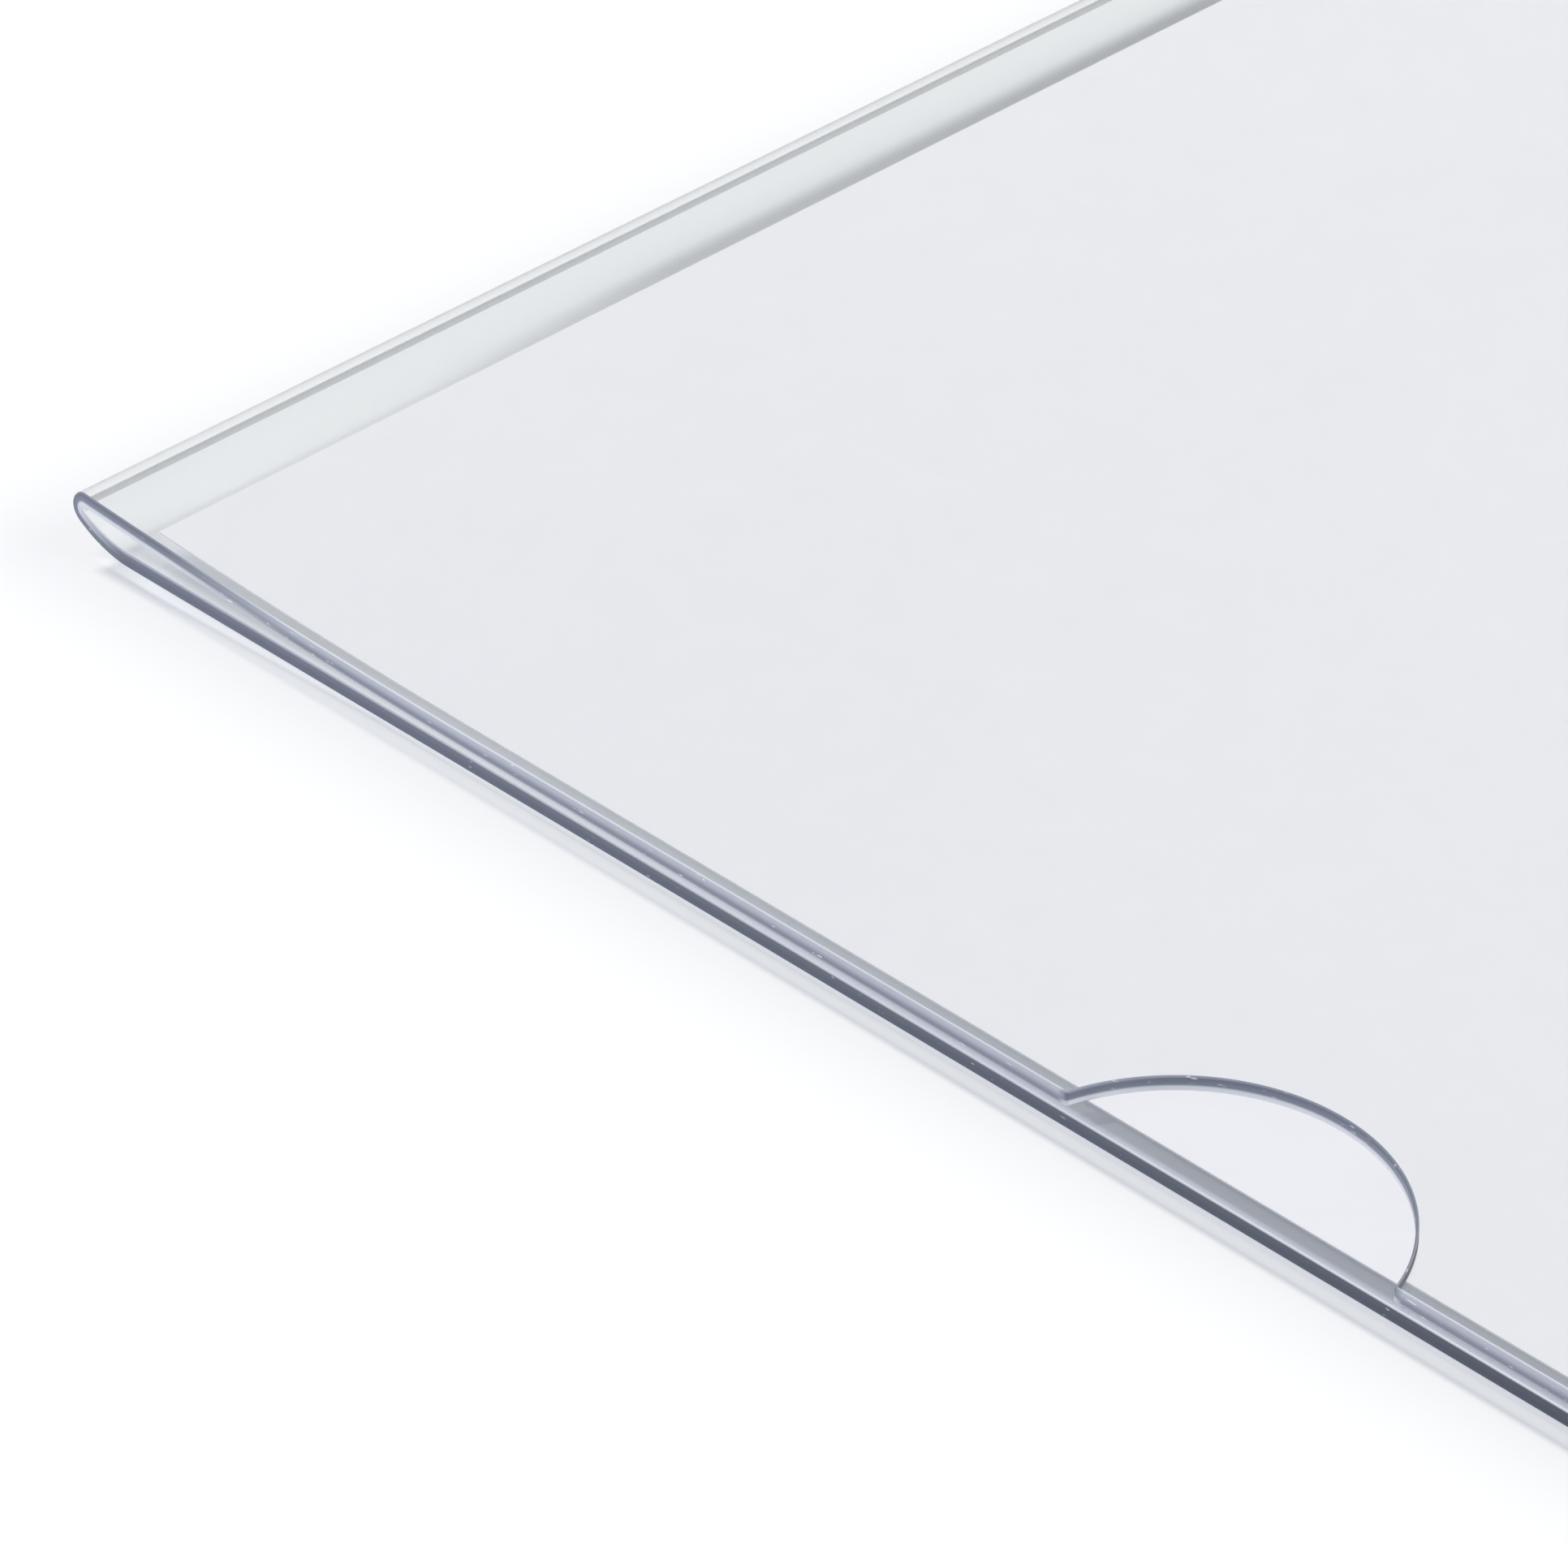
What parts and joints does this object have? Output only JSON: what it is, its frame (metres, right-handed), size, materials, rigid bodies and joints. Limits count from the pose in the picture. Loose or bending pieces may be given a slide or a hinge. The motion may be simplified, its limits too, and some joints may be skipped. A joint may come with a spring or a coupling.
{
  "type": "projecting sign holder",
  "caption": "Clear acrylic pocket folded from one sheet, with a thumb notch and a wall flange, that holds a paper sign square to a wall so it can be read from both sides.",
  "frame": {"origin": "under the middle of the holder's box, on the surface that the back panel lies on", "axes": "+X up the sign from the fold to the free top edge, +Y from the outer edge with the thumb notch to the wall, +Z out of the front panel"},
  "size_m": [0.3104, 0.2214, 0.028],
  "materials": {
    "clear_acrylic": "polished",
    "paper": "matte",
    "foam_tape": "matte",
    "release_liner": "satin"
  },
  "bodies": {
    "holder": {"folded_pocket": "clear_acrylic", "lower_tape": "foam_tape", "upper_tape": "foam_tape"},
    "sign": {"sign_sheet": "paper"},
    "lower_liner": {"lower_liner": "release_liner"},
    "upper_liner": {"upper_liner": "release_liner"}
  },
  "joints": [
    {"name": "sign_slide", "type": "slide", "parent": "holder", "child": "sign", "axis": [0, -1, 0], "range_m": [0, 0.215]},
    {"name": "lower_liner_peel", "type": "slide", "parent": "holder", "child": "lower_liner", "axis": [0, 1, 0], "range_m": [0, 0.03]},
    {"name": "upper_liner_peel", "type": "slide", "parent": "holder", "child": "upper_liner", "axis": [0, 1, 0], "range_m": [0, 0.03]}
  ]
}
